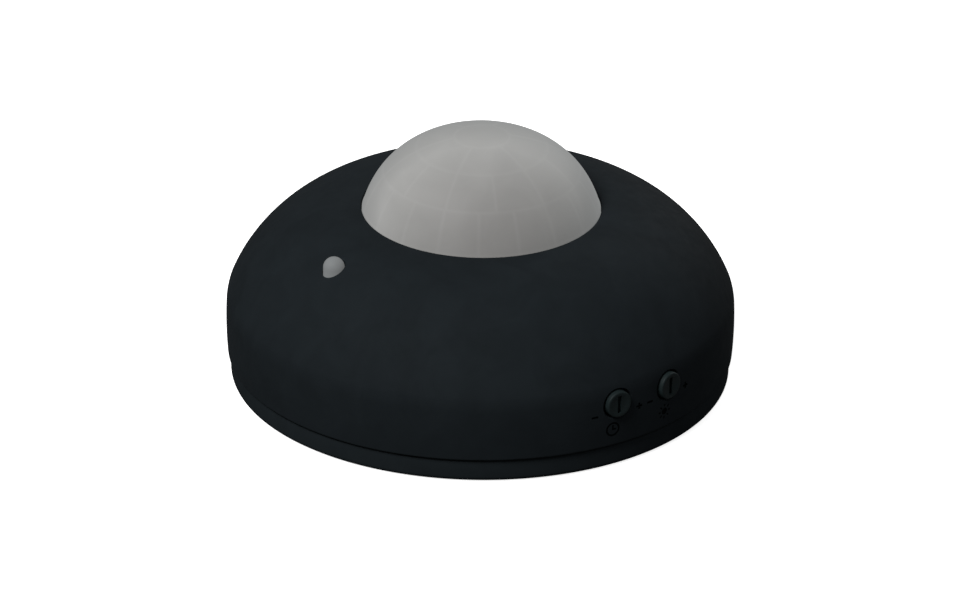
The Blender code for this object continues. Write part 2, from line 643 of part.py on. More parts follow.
def make_adjuster(name, bearing, head):
    """A trimmer on the board, its rotor, and the knob that turns it through the skirt."""
    turn = facing_out(bearing)
    body = box(f"{name}_trimmer", TRIMMER_SIZE, PARTS, TRIMMER_BLUE, 0.3 * MM)
    middle = at_bearing(bearing, TRIMMER_FRONT - TRIMMER_SIZE.z / 2,
                        PART_FOOT + TRIMMER_SIZE.y / 2)
    place(body, middle, head, turn)
    recess = cylinder(f"{name}_recess", ROTOR_RADIUS + GAP, 2 * TRIMMER_RECESS_DEPTH, TOOLS)
    place(recess, at_bearing(bearing, TRIMMER_FRONT, ADJUSTER_HEIGHT), rotation=turn)
    cut(body, recess)

    axis = empty(f"{name}_axis", at_bearing(bearing, HOUSING_RADIUS, ADJUSTER_HEIGHT), turn, head)
    rotor = cylinder(f"{name}_rotor", ROTOR_RADIUS, ROTOR_THICKNESS, PARTS, WHITE_NYLON)
    rotor_front = ROTOR_FRONT - HOUSING_RADIUS
    place(rotor, (0, 0, rotor_front - ROTOR_THICKNESS / 2), axis)
    groove = box(f"{name}_rotor_groove", ROTOR_GROOVE, TOOLS)
    place(groove, (0, 0, rotor_front), axis)
    cut(rotor, groove)

    shaft_end = rotor_front + GAP
    profile = [(0.0, KNOB_FACE), (KNOB_RADIUS - 0.45 * MM, KNOB_FACE),
               (KNOB_RADIUS, KNOB_FACE - 0.45 * MM), (KNOB_RADIUS, KNOB_BACK),
               (SHAFT_RADIUS, KNOB_BACK), (SHAFT_RADIUS, shaft_end), (0.0, shaft_end)]
    knob = turned(f"{name}_knob", profile, PARTS, KNOB_PLASTIC, steps=SMALL_STEPS)
    knob.parent = axis
    blade = box(f"{name}_blade", BLADE_SIZE, TOOLS)
    place(blade, (0, 0, shaft_end), axis)
    join(knob, blade)
    slot = box(f"{name}_slot", KNOB_SLOT, TOOLS)
    place(slot, (0, 0, KNOB_FACE), axis)
    cut(knob, slot)


def build():
    head = empty("head_axis", (0, 0, 0))
    make_base()
    make_housing(head)
    make_lens(head)
    make_retainer(head)
    make_light_guide(head)
    make_boards(head)
    make_pyro_sensor(head)
    make_components(head)
    make_terminal_block(head)
    for name, bearing in ADJUSTER_BEARINGS.items():
        make_adjuster(name, bearing, head)


build()
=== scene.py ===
"""The finished look of the ceiling motion sensor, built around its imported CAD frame.

Metres, +Z up, in the frame of the CAD: the origin is the centre of the mounting face.
A bearing is an angle about +Z, counted from -Y towards +X.
"""

import json
from math import asin, atan2, cos, degrees, hypot, pi, radians, sin

import bmesh
import bpy
from mathutils import Matrix, Vector


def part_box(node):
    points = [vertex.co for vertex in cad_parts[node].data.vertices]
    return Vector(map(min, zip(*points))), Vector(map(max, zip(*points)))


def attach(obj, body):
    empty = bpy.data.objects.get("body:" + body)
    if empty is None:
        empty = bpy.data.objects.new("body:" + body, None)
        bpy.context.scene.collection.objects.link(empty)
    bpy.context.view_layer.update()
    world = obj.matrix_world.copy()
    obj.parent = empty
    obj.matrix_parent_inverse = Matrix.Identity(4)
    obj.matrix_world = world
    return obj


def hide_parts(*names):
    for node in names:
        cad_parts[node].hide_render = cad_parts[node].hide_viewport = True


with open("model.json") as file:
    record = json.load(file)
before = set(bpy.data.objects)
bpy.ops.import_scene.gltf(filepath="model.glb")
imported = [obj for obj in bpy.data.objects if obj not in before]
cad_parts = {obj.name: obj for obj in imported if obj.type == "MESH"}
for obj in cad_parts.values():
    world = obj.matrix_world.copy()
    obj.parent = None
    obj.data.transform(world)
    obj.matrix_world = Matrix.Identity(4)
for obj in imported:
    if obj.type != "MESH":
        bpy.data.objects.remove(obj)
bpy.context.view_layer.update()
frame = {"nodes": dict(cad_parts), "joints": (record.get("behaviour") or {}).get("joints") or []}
JOINTS = {joint["name"]: joint for joint in frame["joints"]}

MM = 0.001
GAP = 0.3 * MM

# Housing: its box is the frame's
HOUSING_LOW, HOUSING_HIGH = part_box("housing")
SKIRT_RADIUS = HOUSING_HIGH.x
SEAM = HOUSING_LOW.z
BELLY = 13.5 * MM
CREASE = 18.95 * MM
CREASE_SOFTNESS = 1.5 * MM
WALL = 2.0 * MM
INNER_RADIUS = SKIRT_RADIUS - 2.3 * MM
SKIRT_CROWN = 5.6
OPENING = 27.0 * MM
ROOF = 40.7 * MM
FOOT_ROUNDING = 0.45 * MM           # at the skirt's lower edge
LIP_ROUNDING = 0.35 * MM            # at the lens opening
SHOULDER = ((57.4 * MM, 19.0 * MM), (53.7 * MM, 30.0 * MM),
            (42.1 * MM, 41.9 * MM), (26.7 * MM, ROOF))

# Screw pillars: distance from the axis, bearings, radius and depth of the pilot hole
BOARD_PILLARS = (44.0 * MM, (60, 180, 300), 3.25 * MM, 8 * MM)
RETAINER_PILLARS = (33.5 * MM, (0, 120, 240), 2.5 * MM, 2 * MM)
PILOT_RADIUS = 1.4 * MM

# Bayonet: sizes are along the skirt, outward and up
BAYONET_BEARINGS = (30.0, 150.0, 270.0)
LEDGE_SIZE = (11.3 * MM, 2.4 * MM, 1.4 * MM)
LEDGE_REACH = 1.5 * MM              # middle of a ledge outside the collar
LEDGE_HEIGHT = 6.7 * MM
STOP_SIZE = (1.2 * MM, 2.4 * MM, 3.1 * MM)
STOP_SHIFT = 5.9 * MM
STOP_HEIGHT = 7.55 * MM
LUG_SIZE = (9.4 * MM, 2.0 * MM, 1.4 * MM)
LUG_REACH = 0.5 * MM
LUG_HEIGHT = 8.4 * MM

# Lens: its box is the frame's
LENS_LOW, LENS_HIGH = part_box("fresnel_lens")
LENS_RADIUS = 26.7 * MM
LENS_WALL = 1.0 * MM
FLANGE_RADIUS = LENS_HIGH.x
FLANGE_TOP = LENS_LOW.z + 1.0 * MM
LENS_DOME = ((0.0, LENS_HIGH.z), (7.0 * MM, LENS_HIGH.z),
             (22.0 * MM, 56.2 * MM), (LENS_RADIUS, ROOF))
LENS_RINGS = ((0.0, 1), (12.0, 6), (29.0, 12), (47.0, 18))  # first tilt, segments around
SEGMENT_BORDER = 1.1                # degrees from a border to where its ridge ends
SEGMENT_DEPTH = 0.25 * MM
LENS_CENTRE = LENS_HIGH.z - 29.8 * MM

# Base plate: its box is the frame's
BASE_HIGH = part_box("base_plate")[1]
BASE_RADIUS = BASE_HIGH.x
BASE_RIM = 5.15 * MM
BASE_FILLET = 1.3 * MM
BASE_FLOOR = 2.0 * MM
COLLAR_RADIUS = 53.2 * MM
COLLAR_WALL = 1.8 * MM
CABLE_OPENING = 20.0 * MM
CABLE_LIP = 1.2 * MM
CABLE_LIP_TOP = 3.4 * MM
EDGE_BREAK = 0.2 * MM
ROUND_FIXING_DISTANCE = 38 * MM
FIXING_DISTANCE = 30.0 * MM
FIXING_RADIUS = 2.25 * MM
FIXING_TRAVEL = 6.0 * MM

# Light guide: its box is the frame's
PIN_LOW, PIN_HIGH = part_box("light_guide")
PIN_RADIUS = 2.4 * MM
PIN_GAP = 0.17 * MM
PIN_PLACE = (PIN_LOW.x + PIN_HIGH.x) / 2
PIN_COLLAR_TOP = 30.5 * MM
PIN_COLLAR_RADIUS = 3.3 * MM
PIN_COLLAR_THICKNESS = 1.0 * MM
PIN_STEM_RADIUS = 2.1 * MM
PIN_FOOT_RADIUS = 1.6 * MM

# Adjusters
KNOB_RADIUS = 3.1 * MM
KNOB_FACE = 0.8 * MM
KNOB_HOLE = 3.6 * MM
KNOB_BACK = -2.0 * MM
SHAFT_RADIUS = 1.5 * MM
SHAFT_END = -10.2 * MM
KNOB_RIM = 0.4 * MM
KNOB_DISH = 0.22 * MM
KNOB_SLOT = (0.95 * MM, 4.2 * MM, 0.95 * MM)    # width, length and depth
BLADE_SIZE = (0.8 * MM, 2.2 * MM, 2.4 * MM)
HOLE_BEVEL = 0.35 * MM
MARK_OFFSET = 5.8                   # degrees from an adjuster to its minus or plus
MARK_DROP = 2.2 * MM
MARK_LENGTH = 1.6 * MM
MARK_LINE = 0.5 * MM
MARK_SPAN = (-0.22 * MM, 1.0 * MM)  # lowest and highest point of the cutters on the skirt
ICON_OFFSET = 1.2
ICON_DROP = 6.1 * MM
CLOCK_RADII = (1.3 * MM, 1.75 * MM)
CLOCK_HANDS = ((-0.22, -0.22), (0.85, -0.22), (0.85, 0.22), (0.22, 0.22), (0.22, 1.0),
               (-0.22, 1.0))        # millimetres
SUN_RADIUS = 0.8 * MM
SUN_RAYS = 8
RAY_DISTANCE = 1.5 * MM
RAY_SIZE = (0.65 * MM, 0.36 * MM)

# Camera: where the object is seen from
VIEW_AZIMUTH = -38.8
VIEW_ELEVATION = 26.04
VIEW_ROLL = 0.56
VIEW_DISTANCE = 1.656
VIEW_WIDTH = 0.2172                 # what the picture's width covers at the object
VIEW_SHIFT = (-0.00047, 0.00082)
VIEW_TARGET = Vector((0.0, 0.0, 16.85 * MM))

# Lights: azimuth, elevation, size and power; strengths of the surroundings
LIGHT_DISTANCE = 2.4
KEY_LIGHT = (VIEW_AZIMUTH - 42, 51, 1.0, 57.0)
RIM_LIGHT = (VIEW_AZIMUTH + 150, 22, 1.4, 12.0)
WORLD_LIGHT = 0.23                  # what reaches the object
WORLD_SEEN = 1.0                    # what the camera sees
FLOOR_GLOW = 0.85                   # added to the floor for the camera only
FLOOR_DIM = 0.16                    # the floor's grey for all other rays
FLOOR_DROP = 0.2 * MM

# Finishes
MOTTLE = 0.10                       # share by which a moulded colour varies
# painted highlight: the largest share of the paler colour on a sharp convex edge
EDGE_HIGHLIGHT = 0.25
HIGHLIGHT_PALER = 2.2                    # how many times paler a painted edge highlight is
BRUSHING = 0.6 * MM


# ---------------------------------------------------------------- mesh helpers

def new_object(name, mesh):
    made = bpy.data.objects.new(name, mesh)
    bpy.context.scene.collection.objects.link(made)
    return made


def from_bmesh(name, shape):
    bmesh.ops.recalc_face_normals(shape, faces=shape.faces)
    mesh = bpy.data.meshes.new(name)
    shape.to_mesh(mesh)
    shape.free()
    return new_object(name, mesh)


def bezier(points, count):
    first, second, third, last = (Vector(point) for point in points)
    places = []
    for index in range(count):
        t = index / (count - 1)
        u = 1.0 - t
        places.append(u ** 3 * first + 3 * u * u * t * second
                      + 3 * u * t * t * third + t ** 3 * last)
    return places


def inset(places, distance):
    """A curve moved sideways, to the left of its own direction."""
    moved = []
    for index, point in enumerate(places):
        before = places[max(index - 1, 0)]
        after = places[min(index + 1, len(places) - 1)]
        along = (after - before).normalized()
        moved.append(point + distance * Vector((-along.y, along.x)))
    return moved


def arc(centre, radius, start, end, count):
    """Points on a circle from one angle to another, in degrees."""
    return [Vector((centre[0] + radius * cos(radians(start + (end - start) * i / (count - 1))),
                    centre[1] + radius * sin(radians(start + (end - start) * i / (count - 1)))))
            for i in range(count)]


def soften(places, corner, reach, count=9):
    """Replaces a curve's points within reach of a corner with one smooth bend."""
    before = [p for p in places if (p - corner).length > reach and p.y > corner.y]
    after = [p for p in places if (p - corner).length > reach and p.y < corner.y]
    start, end = before[-1], after[0]
    bend = []
    for index in range(1, count):
        t = index / count
        bend.append((1 - t) ** 2 * start + 2 * t * (1 - t) * corner + t * t * end)
    return before + bend + after


def revolve(name, profile, steps, ring=False):
    """Turns (radius, height) points about Z. The profile runs down its outer side."""
    vertices, faces, rows = [], [], []
    for radius, height in profile:
        if radius < 1e-7:
            rows.append([len(vertices)] * steps)
            vertices.append((0.0, 0.0, height))
            continue
        rows.append(list(range(len(vertices), len(vertices) + steps)))
        for step in range(steps):
            angle = 2 * pi * step / steps
            vertices.append((radius * cos(angle), radius * sin(angle), height))
    pairs = list(zip(rows, rows[1:]))
    if ring:
        pairs.append((rows[-1], rows[0]))
    for upper, lower in pairs:
        for step in range(steps):
            turn = (step + 1) % steps
            loop = (upper[step], lower[step], lower[turn], upper[turn])
            faces.append(tuple(dict.fromkeys(loop)))
    mesh = bpy.data.meshes.new(name)
    mesh.from_pydata(vertices, [], faces)
    return new_object(name, mesh)


def prism(shape, outline, low, high, place):
    """Adds an outline in local XY, extruded along local Z, to a bmesh."""
    bottom = [shape.verts.new(place @ Vector((x, y, low))) for x, y in outline]
    top = [shape.verts.new(place @ Vector((x, y, high))) for x, y in outline]
    shape.faces.new(reversed(bottom))
    shape.faces.new(top)
    for index in range(len(outline)):
        following = (index + 1) % len(outline)
        shape.faces.new((bottom[index], bottom[following], top[following], top[index]))


def ring_prism(shape, inner, outer, low, high, place, steps=32):
    """Adds a flat ring, extruded along local Z, to a bmesh."""
    corners = []
    for radius in (inner, outer):
        for height in (low, high):
            corners.append([shape.verts.new(place @ Vector((radius * cos(2 * pi * i / steps),
                                                            radius * sin(2 * pi * i / steps),
                                                            height))) for i in range(steps)])
    inner_low, inner_high, outer_low, outer_high = corners
    walls = ((inner_low, outer_low), (outer_low, outer_high), (outer_high, inner_high),
             (inner_high, inner_low))
    for first, second in walls:
        for index in range(steps):
            following = (index + 1) % steps
            shape.faces.new((first[following], first[index], second[index], second[following]))


def rectangle(width, height, x=0.0, y=0.0, turn=0.0):
    corners = ((-1, -1), (1, -1), (1, 1), (-1, 1))
    c, s = cos(radians(turn)), sin(radians(turn))
    return [(x + c * a * width / 2 - s * b * height / 2, y + s * a * width / 2 + c * b * height / 2)
            for a, b in corners]


def circle(radius, x=0.0, y=0.0, steps=32):
    return [(x + radius * cos(2 * pi * i / steps), y + radius * sin(2 * pi * i / steps))
            for i in range(steps)]


def cone_cutter(name, profile, place, steps=64):
    """A turned cutter, set in place by a matrix."""
    made = revolve(name, profile, steps)
    made.data.transform(place)
    return made


def combine(target, cutters, operation):
    """Applies Booleans of these objects to the target, and removes them."""
    for cutter in cutters:
        step = target.modifiers.new("step", "BOOLEAN")
        step.operation = operation
        step.solver = "EXACT"
        step.material_mode = "TRANSFER"
        step.object = cutter
    apply_modifiers(target)
    for cutter in cutters:
        bpy.data.objects.remove(cutter, do_unlink=True)


def apply_modifiers(item):
    graph = bpy.context.evaluated_depsgraph_get()
    mesh = bpy.data.meshes.new_from_object(item.evaluated_get(graph))
    item.modifiers.clear()
    item.data = mesh


def smooth(item, angle=32.0):
    item.data.shade_smooth()
    item.data.set_sharp_from_angle(angle=radians(angle))


def at_bearing(bearing, radius, height):
    angle = radians(bearing)
    return Vector((radius * sin(angle), -radius * cos(angle), height))


def outward(bearing, radius, height):
    """A frame on the skirt: local Z points out, local X along the skirt, local Y up."""
    angle = radians(bearing)
    out = Vector((sin(angle), -cos(angle), 0.0))
    along = Vector((cos(angle), sin(angle), 0.0))
    turn = Matrix((along, Vector((0, 0, 1)), out)).transposed().to_4x4()
    return Matrix.Translation(at_bearing(bearing, radius, height)) @ turn


def joint_frame(name):
    """The outward frame at an adjuster's joint, and its bearing."""
    place = Vector(JOINTS[name]["pos_m"])
    bearing = degrees(atan2(place.x, -place.y))
    return outward(bearing, hypot(place.x, place.y), place.z), bearing


# ---------------------------------------------------------------- node helpers

class Shader:
    """A node material with a Principled surface and short ways to add nodes."""

    def __init__(self, name):
        self.material = bpy.data.materials.new(name)
        self.material.use_nodes = True
        self.tree = self.material.node_tree
        self.surface = self.tree.nodes["Principled BSDF"]
        self.output = self.tree.nodes["Material Output"]
        coordinates = self.tree.nodes.new("ShaderNodeTexCoord")
        self.place = coordinates.outputs["Object"]

    def node(self, kind, inputs=None, **settings):
        made = self.tree.nodes.new("ShaderNode" + kind)
        for key, value in settings.items():
            setattr(made, key, value)
        for key, value in (inputs or {}).items():
            self.set(made.inputs[key], value)
        return made

    def set(self, socket, value):
        if isinstance(value, bpy.types.NodeSocket):
            self.tree.links.new(value, socket)
        else:
            socket.default_value = value

    def noise(self, size, detail=3.0, roughness=0.5, distortion=0.0):
        """Noise whose features are about this size, in metres."""
        inputs = {"Vector": self.place, "Scale": 1.0 / size, "Detail": detail,
                  "Roughness": roughness, "Distortion": distortion}
        return self.node("TexNoise", inputs).outputs["Fac"]

    def between(self, value, low, high, start=0.3, end=0.7):
        return self.node("MapRange", {"Value": value, "From Min": start, "From Max": end,
                                      "To Min": low, "To Max": high}).outputs["Result"]

    def mix(self, factor, first, second):
        made = self.node("Mix", data_type="RGBA")
        self.set(made.inputs["Factor"], factor)
        self.set(made.inputs["A"], first)
        self.set(made.inputs["B"], second)
        return made.outputs["Result"]

    def bump(self, height, distance, normal=None):
        made = self.node("Bump", {"Height": height, "Distance": distance, "Strength": 1.0})
        if normal is not None:
            self.set(made.inputs["Normal"], normal)
        return made.outputs["Normal"]

    def principled(self, **values):
        names = {"colour": "Base Color", "roughness": "Roughness", "metallic": "Metallic",
                 "normal": "Normal", "specular": "Specular IOR Level", "coat": "Coat Weight",
                 "transmission": "Transmission Weight"}
        for key, value in values.items():
            self.set(self.surface.inputs[names[key]], value)
        return self


def rgba(colour, factor=1.0):
    return (*(min(channel * factor, 1.0) for channel in colour), 1.0)


def moulded(name, colour, roughness, specular, grain=0.35 * MM, depth=0.008 * MM):
    """Moulded plastic: fine spark-eroded grain, faint flow mottling, and a painted highlight that
    makes sharp convex edges paler.
    """
    shader = Shader(name)
    flow = shader.noise(9 * MM, 4.0, 0.55, 0.6)
    body = shader.mix(shader.between(flow, 0.0, 1.0), rgba(colour, 1 - MOTTLE),
                      rgba(colour, 1 + MOTTLE))
    # Painted highlight: sharp convex edges, found by pointiness, are made paler.
    pointed = shader.node("NewGeometry").outputs["Pointiness"]
    edge_highlight = shader.between(pointed, 0.0, EDGE_HIGHLIGHT, 0.53, 0.60)
    body = shader.mix(edge_highlight, body, rgba(colour, HIGHLIGHT_PALER))
    fine = shader.noise(grain, 2.0, 0.6)
    pits = shader.node("TexVoronoi", {"Vector": shader.place, "Scale": 1.0 / (grain * 1.6)},
                       feature="SMOOTH_F1").outputs["Distance"]
    texture = shader.mix(0.4, fine, pits)
    gloss = shader.between(shader.noise(2.5 * MM, 3.0), roughness - 0.04, roughness + 0.05)
    shader.principled(colour=body, roughness=gloss, specular=specular,
                      normal=shader.bump(texture, depth))
    return shader.material


def metal(name, colour, roughness=0.28):
    shader = Shader(name)
    stretch = shader.node("Mapping", {"Vector": shader.place, "Scale": (1.0, 1.0, 14.0)})
    lines = shader.node("TexNoise", {"Vector": stretch.outputs["Vector"], "Scale": 1.0 / BRUSHING,
                                     "Detail": 4.0}).outputs["Fac"]
    tint = shader.mix(shader.between(shader.noise(3 * MM), 0, 1), rgba(colour, 0.86), rgba(colour))
    shader.principled(colour=tint, metallic=1.0,
                      roughness=shader.between(lines, roughness - 0.08, roughness + 0.12),
                      normal=shader.bump(lines, 0.004 * MM))
    return shader.material


def circuit_board(name, mask, copper):
    """Solder mask over copper tracks, with tinned pads."""
    shader = Shader(name)
    tracks = shader.node("TexBrick", {"Vector": shader.place, "Scale": 1.0 / (7 * MM),
                                      "Mortar Size": 0.035, "Mortar Smooth": 0.1, "Bias": 0.0,
                                      "Brick Width": 0.9, "Row Height": 0.28},
                         offset=0.37).outputs["Fac"]
    pads = shader.node("TexVoronoi", {"Vector": shader.place, "Scale": 1.0 / (5.5 * MM),
                                      "Randomness": 0.55}).outputs["Distance"]
    pad = shader.between(pads, 1.0, 0.0, 0.17, 0.19)
    under = shader.mix(tracks, rgba(mask, 0.85), rgba(mask, 1.5))
    weave = shader.mix(0.12, under, rgba(mask, 2.0))
    colour = shader.mix(pad, weave, rgba(copper))
    shader.principled(colour=colour, metallic=shader.between(pad, 0.0, 0.9, 0.0, 1.0),
                      roughness=shader.between(pad, 0.38, 0.22, 0.0, 1.0), coat=0.3,
                      normal=shader.bump(tracks, 0.02 * MM))
    return shader.material


def glassy(name, colour, roughness, transmission):
    shader = Shader(name)
    haze = shader.noise(1.5 * MM, 3.0)
    tint = shader.mix(shader.between(haze, 0, 1), rgba(colour, 0.85), rgba(colour, 1.1))
    shader.principled(colour=tint, roughness=shader.between(haze, roughness, roughness + 0.08),
                      transmission=transmission, normal=shader.bump(haze, 0.003 * MM))
    return shader.material


def milky(name, colour, straight, slanted, aslant_dimming, grain):
    """Milky plastic. A glow, strongest where the wall is seen aslant, stands in for
    light scattered inside it."""
    shader = Shader(name)
    aslant = shader.node("LayerWeight", {"Blend": 0.5}).outputs["Facing"]
    cloud = shader.noise(11 * MM, 3.0, 0.5, 0.4)
    segment = shader.node("Attribute", attribute_name="segment").outputs["Fac"]
    # Painted shade: the colour is made darker where the wall is seen aslant, where the painted glow
    # takes over.
    body = shader.mix(shader.between(aslant, 0.0, 1.0, 0.45, 0.9), rgba(colour),
                      rgba(colour, aslant_dimming))
    body = shader.mix(shader.between(cloud, 0.0, 1.0), shader.mix(0.10, body, (0, 0, 0, 1)), body)
    # Painted highlight: the segment borders are made slightly paler.
    body = shader.mix(shader.between(segment, 0.0, 0.018, 0.0, 1.0), body, (1, 1, 1, 1))
    fine = shader.bump(shader.noise(grain, 2.0, 0.6), 0.006 * MM)
    normal = shader.bump(segment, 0.003 * MM, fine)
    shader.principled(colour=body, roughness=shader.between(cloud, 0.5, 0.6), specular=0.1,
                      normal=normal)
    # Painted glow: an emission, though the plastic is no lamp.
    shader.set(shader.surface.inputs["Emission Color"], (0.97, 1.0, 0.995, 1.0))
    shader.set(shader.surface.inputs["Emission Strength"],
               shader.between(aslant, straight, slanted, 0.0, 1.0))
    return shader.material


HOUSING_BLACK = moulded("housing_black", (0.0105, 0.0136, 0.0158), roughness=0.72,
                        specular=0.03)
BASE_BLACK = moulded("base_black", (0.0116, 0.0150, 0.0172), roughness=0.74, specular=0.03)
# Painted shade: the faces cut for the marks are made near black, standing in for the shade in those
# shallow recesses.
MARK_SHADE = moulded("mark_shade", (0.0020, 0.0026, 0.0030), roughness=0.8, specular=0.02)
KNOB_GREY = moulded("knob_grey", (0.0100, 0.0158, 0.0166), roughness=0.5, specular=0.1,
                    grain=0.2 * MM, depth=0.004 * MM)
# Both glow: painted light standing in for light scattered inside the plastic.
LENS_MILK = milky("lens_milk", (0.255, 0.251, 0.244), straight=0.0, slanted=0.252, aslant_dimming=0.3,
                  grain=0.2 * MM)
PIN_GREY = milky("pin_grey", (0.105, 0.112, 0.116), straight=0.10, slanted=0.12, aslant_dimming=0.7,
                 grain=0.15 * MM)
RETAINER_GREY = moulded("retainer_grey", (0.24, 0.25, 0.26), roughness=0.5, specular=0.4)
SCREW_STEEL = metal("screw_steel", (0.62, 0.61, 0.58))
CLAMP_BRASS = metal("clamp_brass", (0.72, 0.56, 0.28), roughness=0.25)
BOARD = circuit_board("board", (0.012, 0.085, 0.035), (0.72, 0.70, 0.66))
NYLON = moulded("nylon_white", (0.62, 0.62, 0.58), roughness=0.45, specular=0.4)
COMPONENT = moulded("component_black", (0.018, 0.018, 0.019), roughness=0.42, specular=0.5,
                    grain=0.15 * MM)
SLEEVE = moulded("capacitor_sleeve", (0.02, 0.022, 0.03), roughness=0.3, specular=0.5)
RELAY = moulded("relay_blue", (0.02, 0.085, 0.27), roughness=0.36, specular=0.5)
FILM = moulded("film_yellow", (0.58, 0.42, 0.06), roughness=0.4, specular=0.45)
CERAMIC = moulded("ceramic_blue", (0.04, 0.17, 0.40), roughness=0.3, specular=0.5,
                  grain=0.6 * MM, depth=0.02 * MM)
TERMINAL = moulded("terminal_green", (0.04, 0.25, 0.09), roughness=0.45, specular=0.4)
TRIMMER = moulded("trimmer_blue", (0.03, 0.12, 0.42), roughness=0.38, specular=0.45)
WINDOW = glassy("window_dark", (0.02, 0.02, 0.025), 0.06, 0.1)
LAMP = glassy("lamp_red", (0.6, 0.03, 0.02), 0.1, 0.6)

CAD_LOOKS = {
    RETAINER_GREY: ("lens_retainer",),
    SCREW_STEEL: ("retainer_screw_1", "retainer_screw_2", "retainer_screw_3",
                  "board_screw_1", "board_screw_2", "board_screw_3",
                  "terminal_screw_1", "terminal_screw_2", "terminal_screw_3", "pyro_sensor"),
    CLAMP_BRASS: ("terminal_clamp_1", "terminal_clamp_2", "terminal_clamp_3"),
    BOARD: ("main_board", "sensor_board"),
    NYLON: ("sensor_standoff_1", "sensor_standoff_2", "pyro_seat", "time_rotor", "lux_rotor"),
    COMPONENT: ("board_link", "bridge_rectifier", "controller_chip", "fuse"),
    SLEEVE: ("smoothing_capacitor", "supply_capacitor"),
    RELAY: ("relay",),
    FILM: ("mains_capacitor",),
    CERAMIC: ("varistor",),
    TERMINAL: ("terminal_block",),
    TRIMMER: ("time_trimmer", "lux_trimmer"),
    WINDOW: ("pyro_window", "photocell"),
    LAMP: ("indicator_light",),
}


def finish_piece(item, material, body, slot, *nodes):
    if material:
        item.data.materials.clear()
        item.data.materials.append(material)
    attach(item, body)
    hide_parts(*nodes)


# ---------------------------------------------------------------- housing

def skirt_radius(height):
    return SKIRT_RADIUS - SKIRT_CROWN * (height - BELLY) ** 2


def housing_profile():
    """The shell's closed section, from the lens opening down the outside and back inside."""
    lip = LIP_ROUNDING
    foot_round = FOOT_ROUNDING
    roof = [p for p in reversed(bezier(SHOULDER, 90)) if p.x > OPENING + lip]
    edge = arc((OPENING + lip, roof[0].y - lip), lip, 180, 96, 9)
    skirt = []
    steps = 36
    for index in range(1, steps + 1):
        height = CREASE + (SEAM + foot_round - CREASE) * index / steps
        skirt.append(Vector((skirt_radius(height), height)))
    corner = Vector((skirt_radius(CREASE) + 0.04 * MM, CREASE))
    outside = soften(roof + skirt, corner, CREASE_SOFTNESS)
    low = outside[-1]
    foot = arc((low.x - foot_round, SEAM + foot_round), foot_round, 0, -90, 7)[1:]
    inner = [Vector((INNER_RADIUS, SEAM)), Vector((INNER_RADIUS, CREASE - 0.8 * MM))]
    under = inset(bezier(SHOULDER, 40), WALL)
    inner += [p for p in under if p.x > OPENING + lip and p.x < INNER_RADIUS - 0.2 * MM]
    inner.append(Vector((OPENING, ROOF - WALL)))
    return edge + outside + foot + inner


def pin_hole_cutter():
    bore = PIN_RADIUS + PIN_GAP
    return cone_cutter("bore", [(0, 0.05), (bore, 0.05), (bore, 0.02), (0, 0.02)],
                       Matrix.Translation((PIN_PLACE, 0, 0)))


def knob_hole_cutter(joint):
    place, _ = joint_frame(joint)
    profile = [(0, 2 * MM), (KNOB_HOLE + HOLE_BEVEL + 2 * MM, 2 * MM),
               (KNOB_HOLE, -HOLE_BEVEL), (KNOB_HOLE, -6 * MM), (0, -6 * MM)]
    return cone_cutter("knob_hole", profile, place)


def adjuster_marks():
    """Minus and plus beside each adjuster, a clock under one and a sun under the other."""
    shape = bmesh.new()
    low, high = MARK_SPAN
    for joint in ("time_turn", "lux_turn"):
        _, bearing = joint_frame(joint)
        height = JOINTS[joint]["pos_m"][2]
        for side in (-1, 1):
            place = outward(bearing + side * MARK_OFFSET, SKIRT_RADIUS, height - MARK_DROP)
            prism(shape, rectangle(MARK_LENGTH, MARK_LINE), low, high, place)
            if side > 0:
                for end in (-1, 1):
                    arm = rectangle(MARK_LINE, 0.5 * MM, 0.0, end * 0.52 * MM)
                    prism(shape, arm, low, high, place)
        place = outward(bearing - ICON_OFFSET, SKIRT_RADIUS, height - ICON_DROP)
        if joint == "time_turn":
            ring_prism(shape, *CLOCK_RADII, low, high, place)
            prism(shape, [(x * MM, y * MM) for x, y in CLOCK_HANDS], low, high, place)
        else:
            prism(shape, circle(SUN_RADIUS), low, high, place)
            for ray in range(SUN_RAYS):
                turn = 360 // SUN_RAYS * ray
                x, y = RAY_DISTANCE * cos(radians(turn)), RAY_DISTANCE * sin(radians(turn))
                prism(shape, rectangle(*RAY_SIZE, x, y, turn), low, high, place)
    marks = from_bmesh("marks", shape)
    # The cut faces take this near-black finish: painted shade in the recesses.
    marks.data.materials.append(MARK_SHADE)
    return marks


def block(name, size, place):
    shape = bmesh.new()
    prism(shape, rectangle(size[0], size[1]), -size[2] / 2, size[2] / 2, place)
    return from_bmesh(name, shape)


def housing_bosses():
    """Screw pillars under the roof, trimmed inside the wall, and their blind holes."""
    middle = inset(bezier(SHOULDER, 30), WALL / 2)
    profile = [(0.0, middle[-1].y)] + [tuple(p) for p in reversed(middle)]
    profile += [(middle[0].x, 0.0), (0.0, 0.0)]
    pillars, holes = [], []
    kinds = []
    for node, (distance, bearings, radius, depth) in (("main_board", BOARD_PILLARS),
                                                      ("lens_retainer", RETAINER_PILLARS)):
        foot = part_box(node)[1].z + GAP
        kinds += [(distance, bearing, radius, foot, depth) for bearing in bearings]
    for distance, bearing, radius, foot, depth in kinds:
        place = Matrix.Translation(at_bearing(bearing, distance, 0.0))
        pillar = cone_cutter("pillar", [(0, ROOF), (radius, ROOF), (radius, foot), (0, foot)],
                             place, 32)
        limit = revolve("limit", profile, 90)
        combine(pillar, [limit], "INTERSECT")
        pillars.append(pillar)
        tip, start = foot + depth, foot - depth
        hole = [(0, tip), (PILOT_RADIUS, tip), (PILOT_RADIUS, start), (0, start)]
        holes.append(cone_cutter("pilot", hole, place, 24))
    return pillars, holes


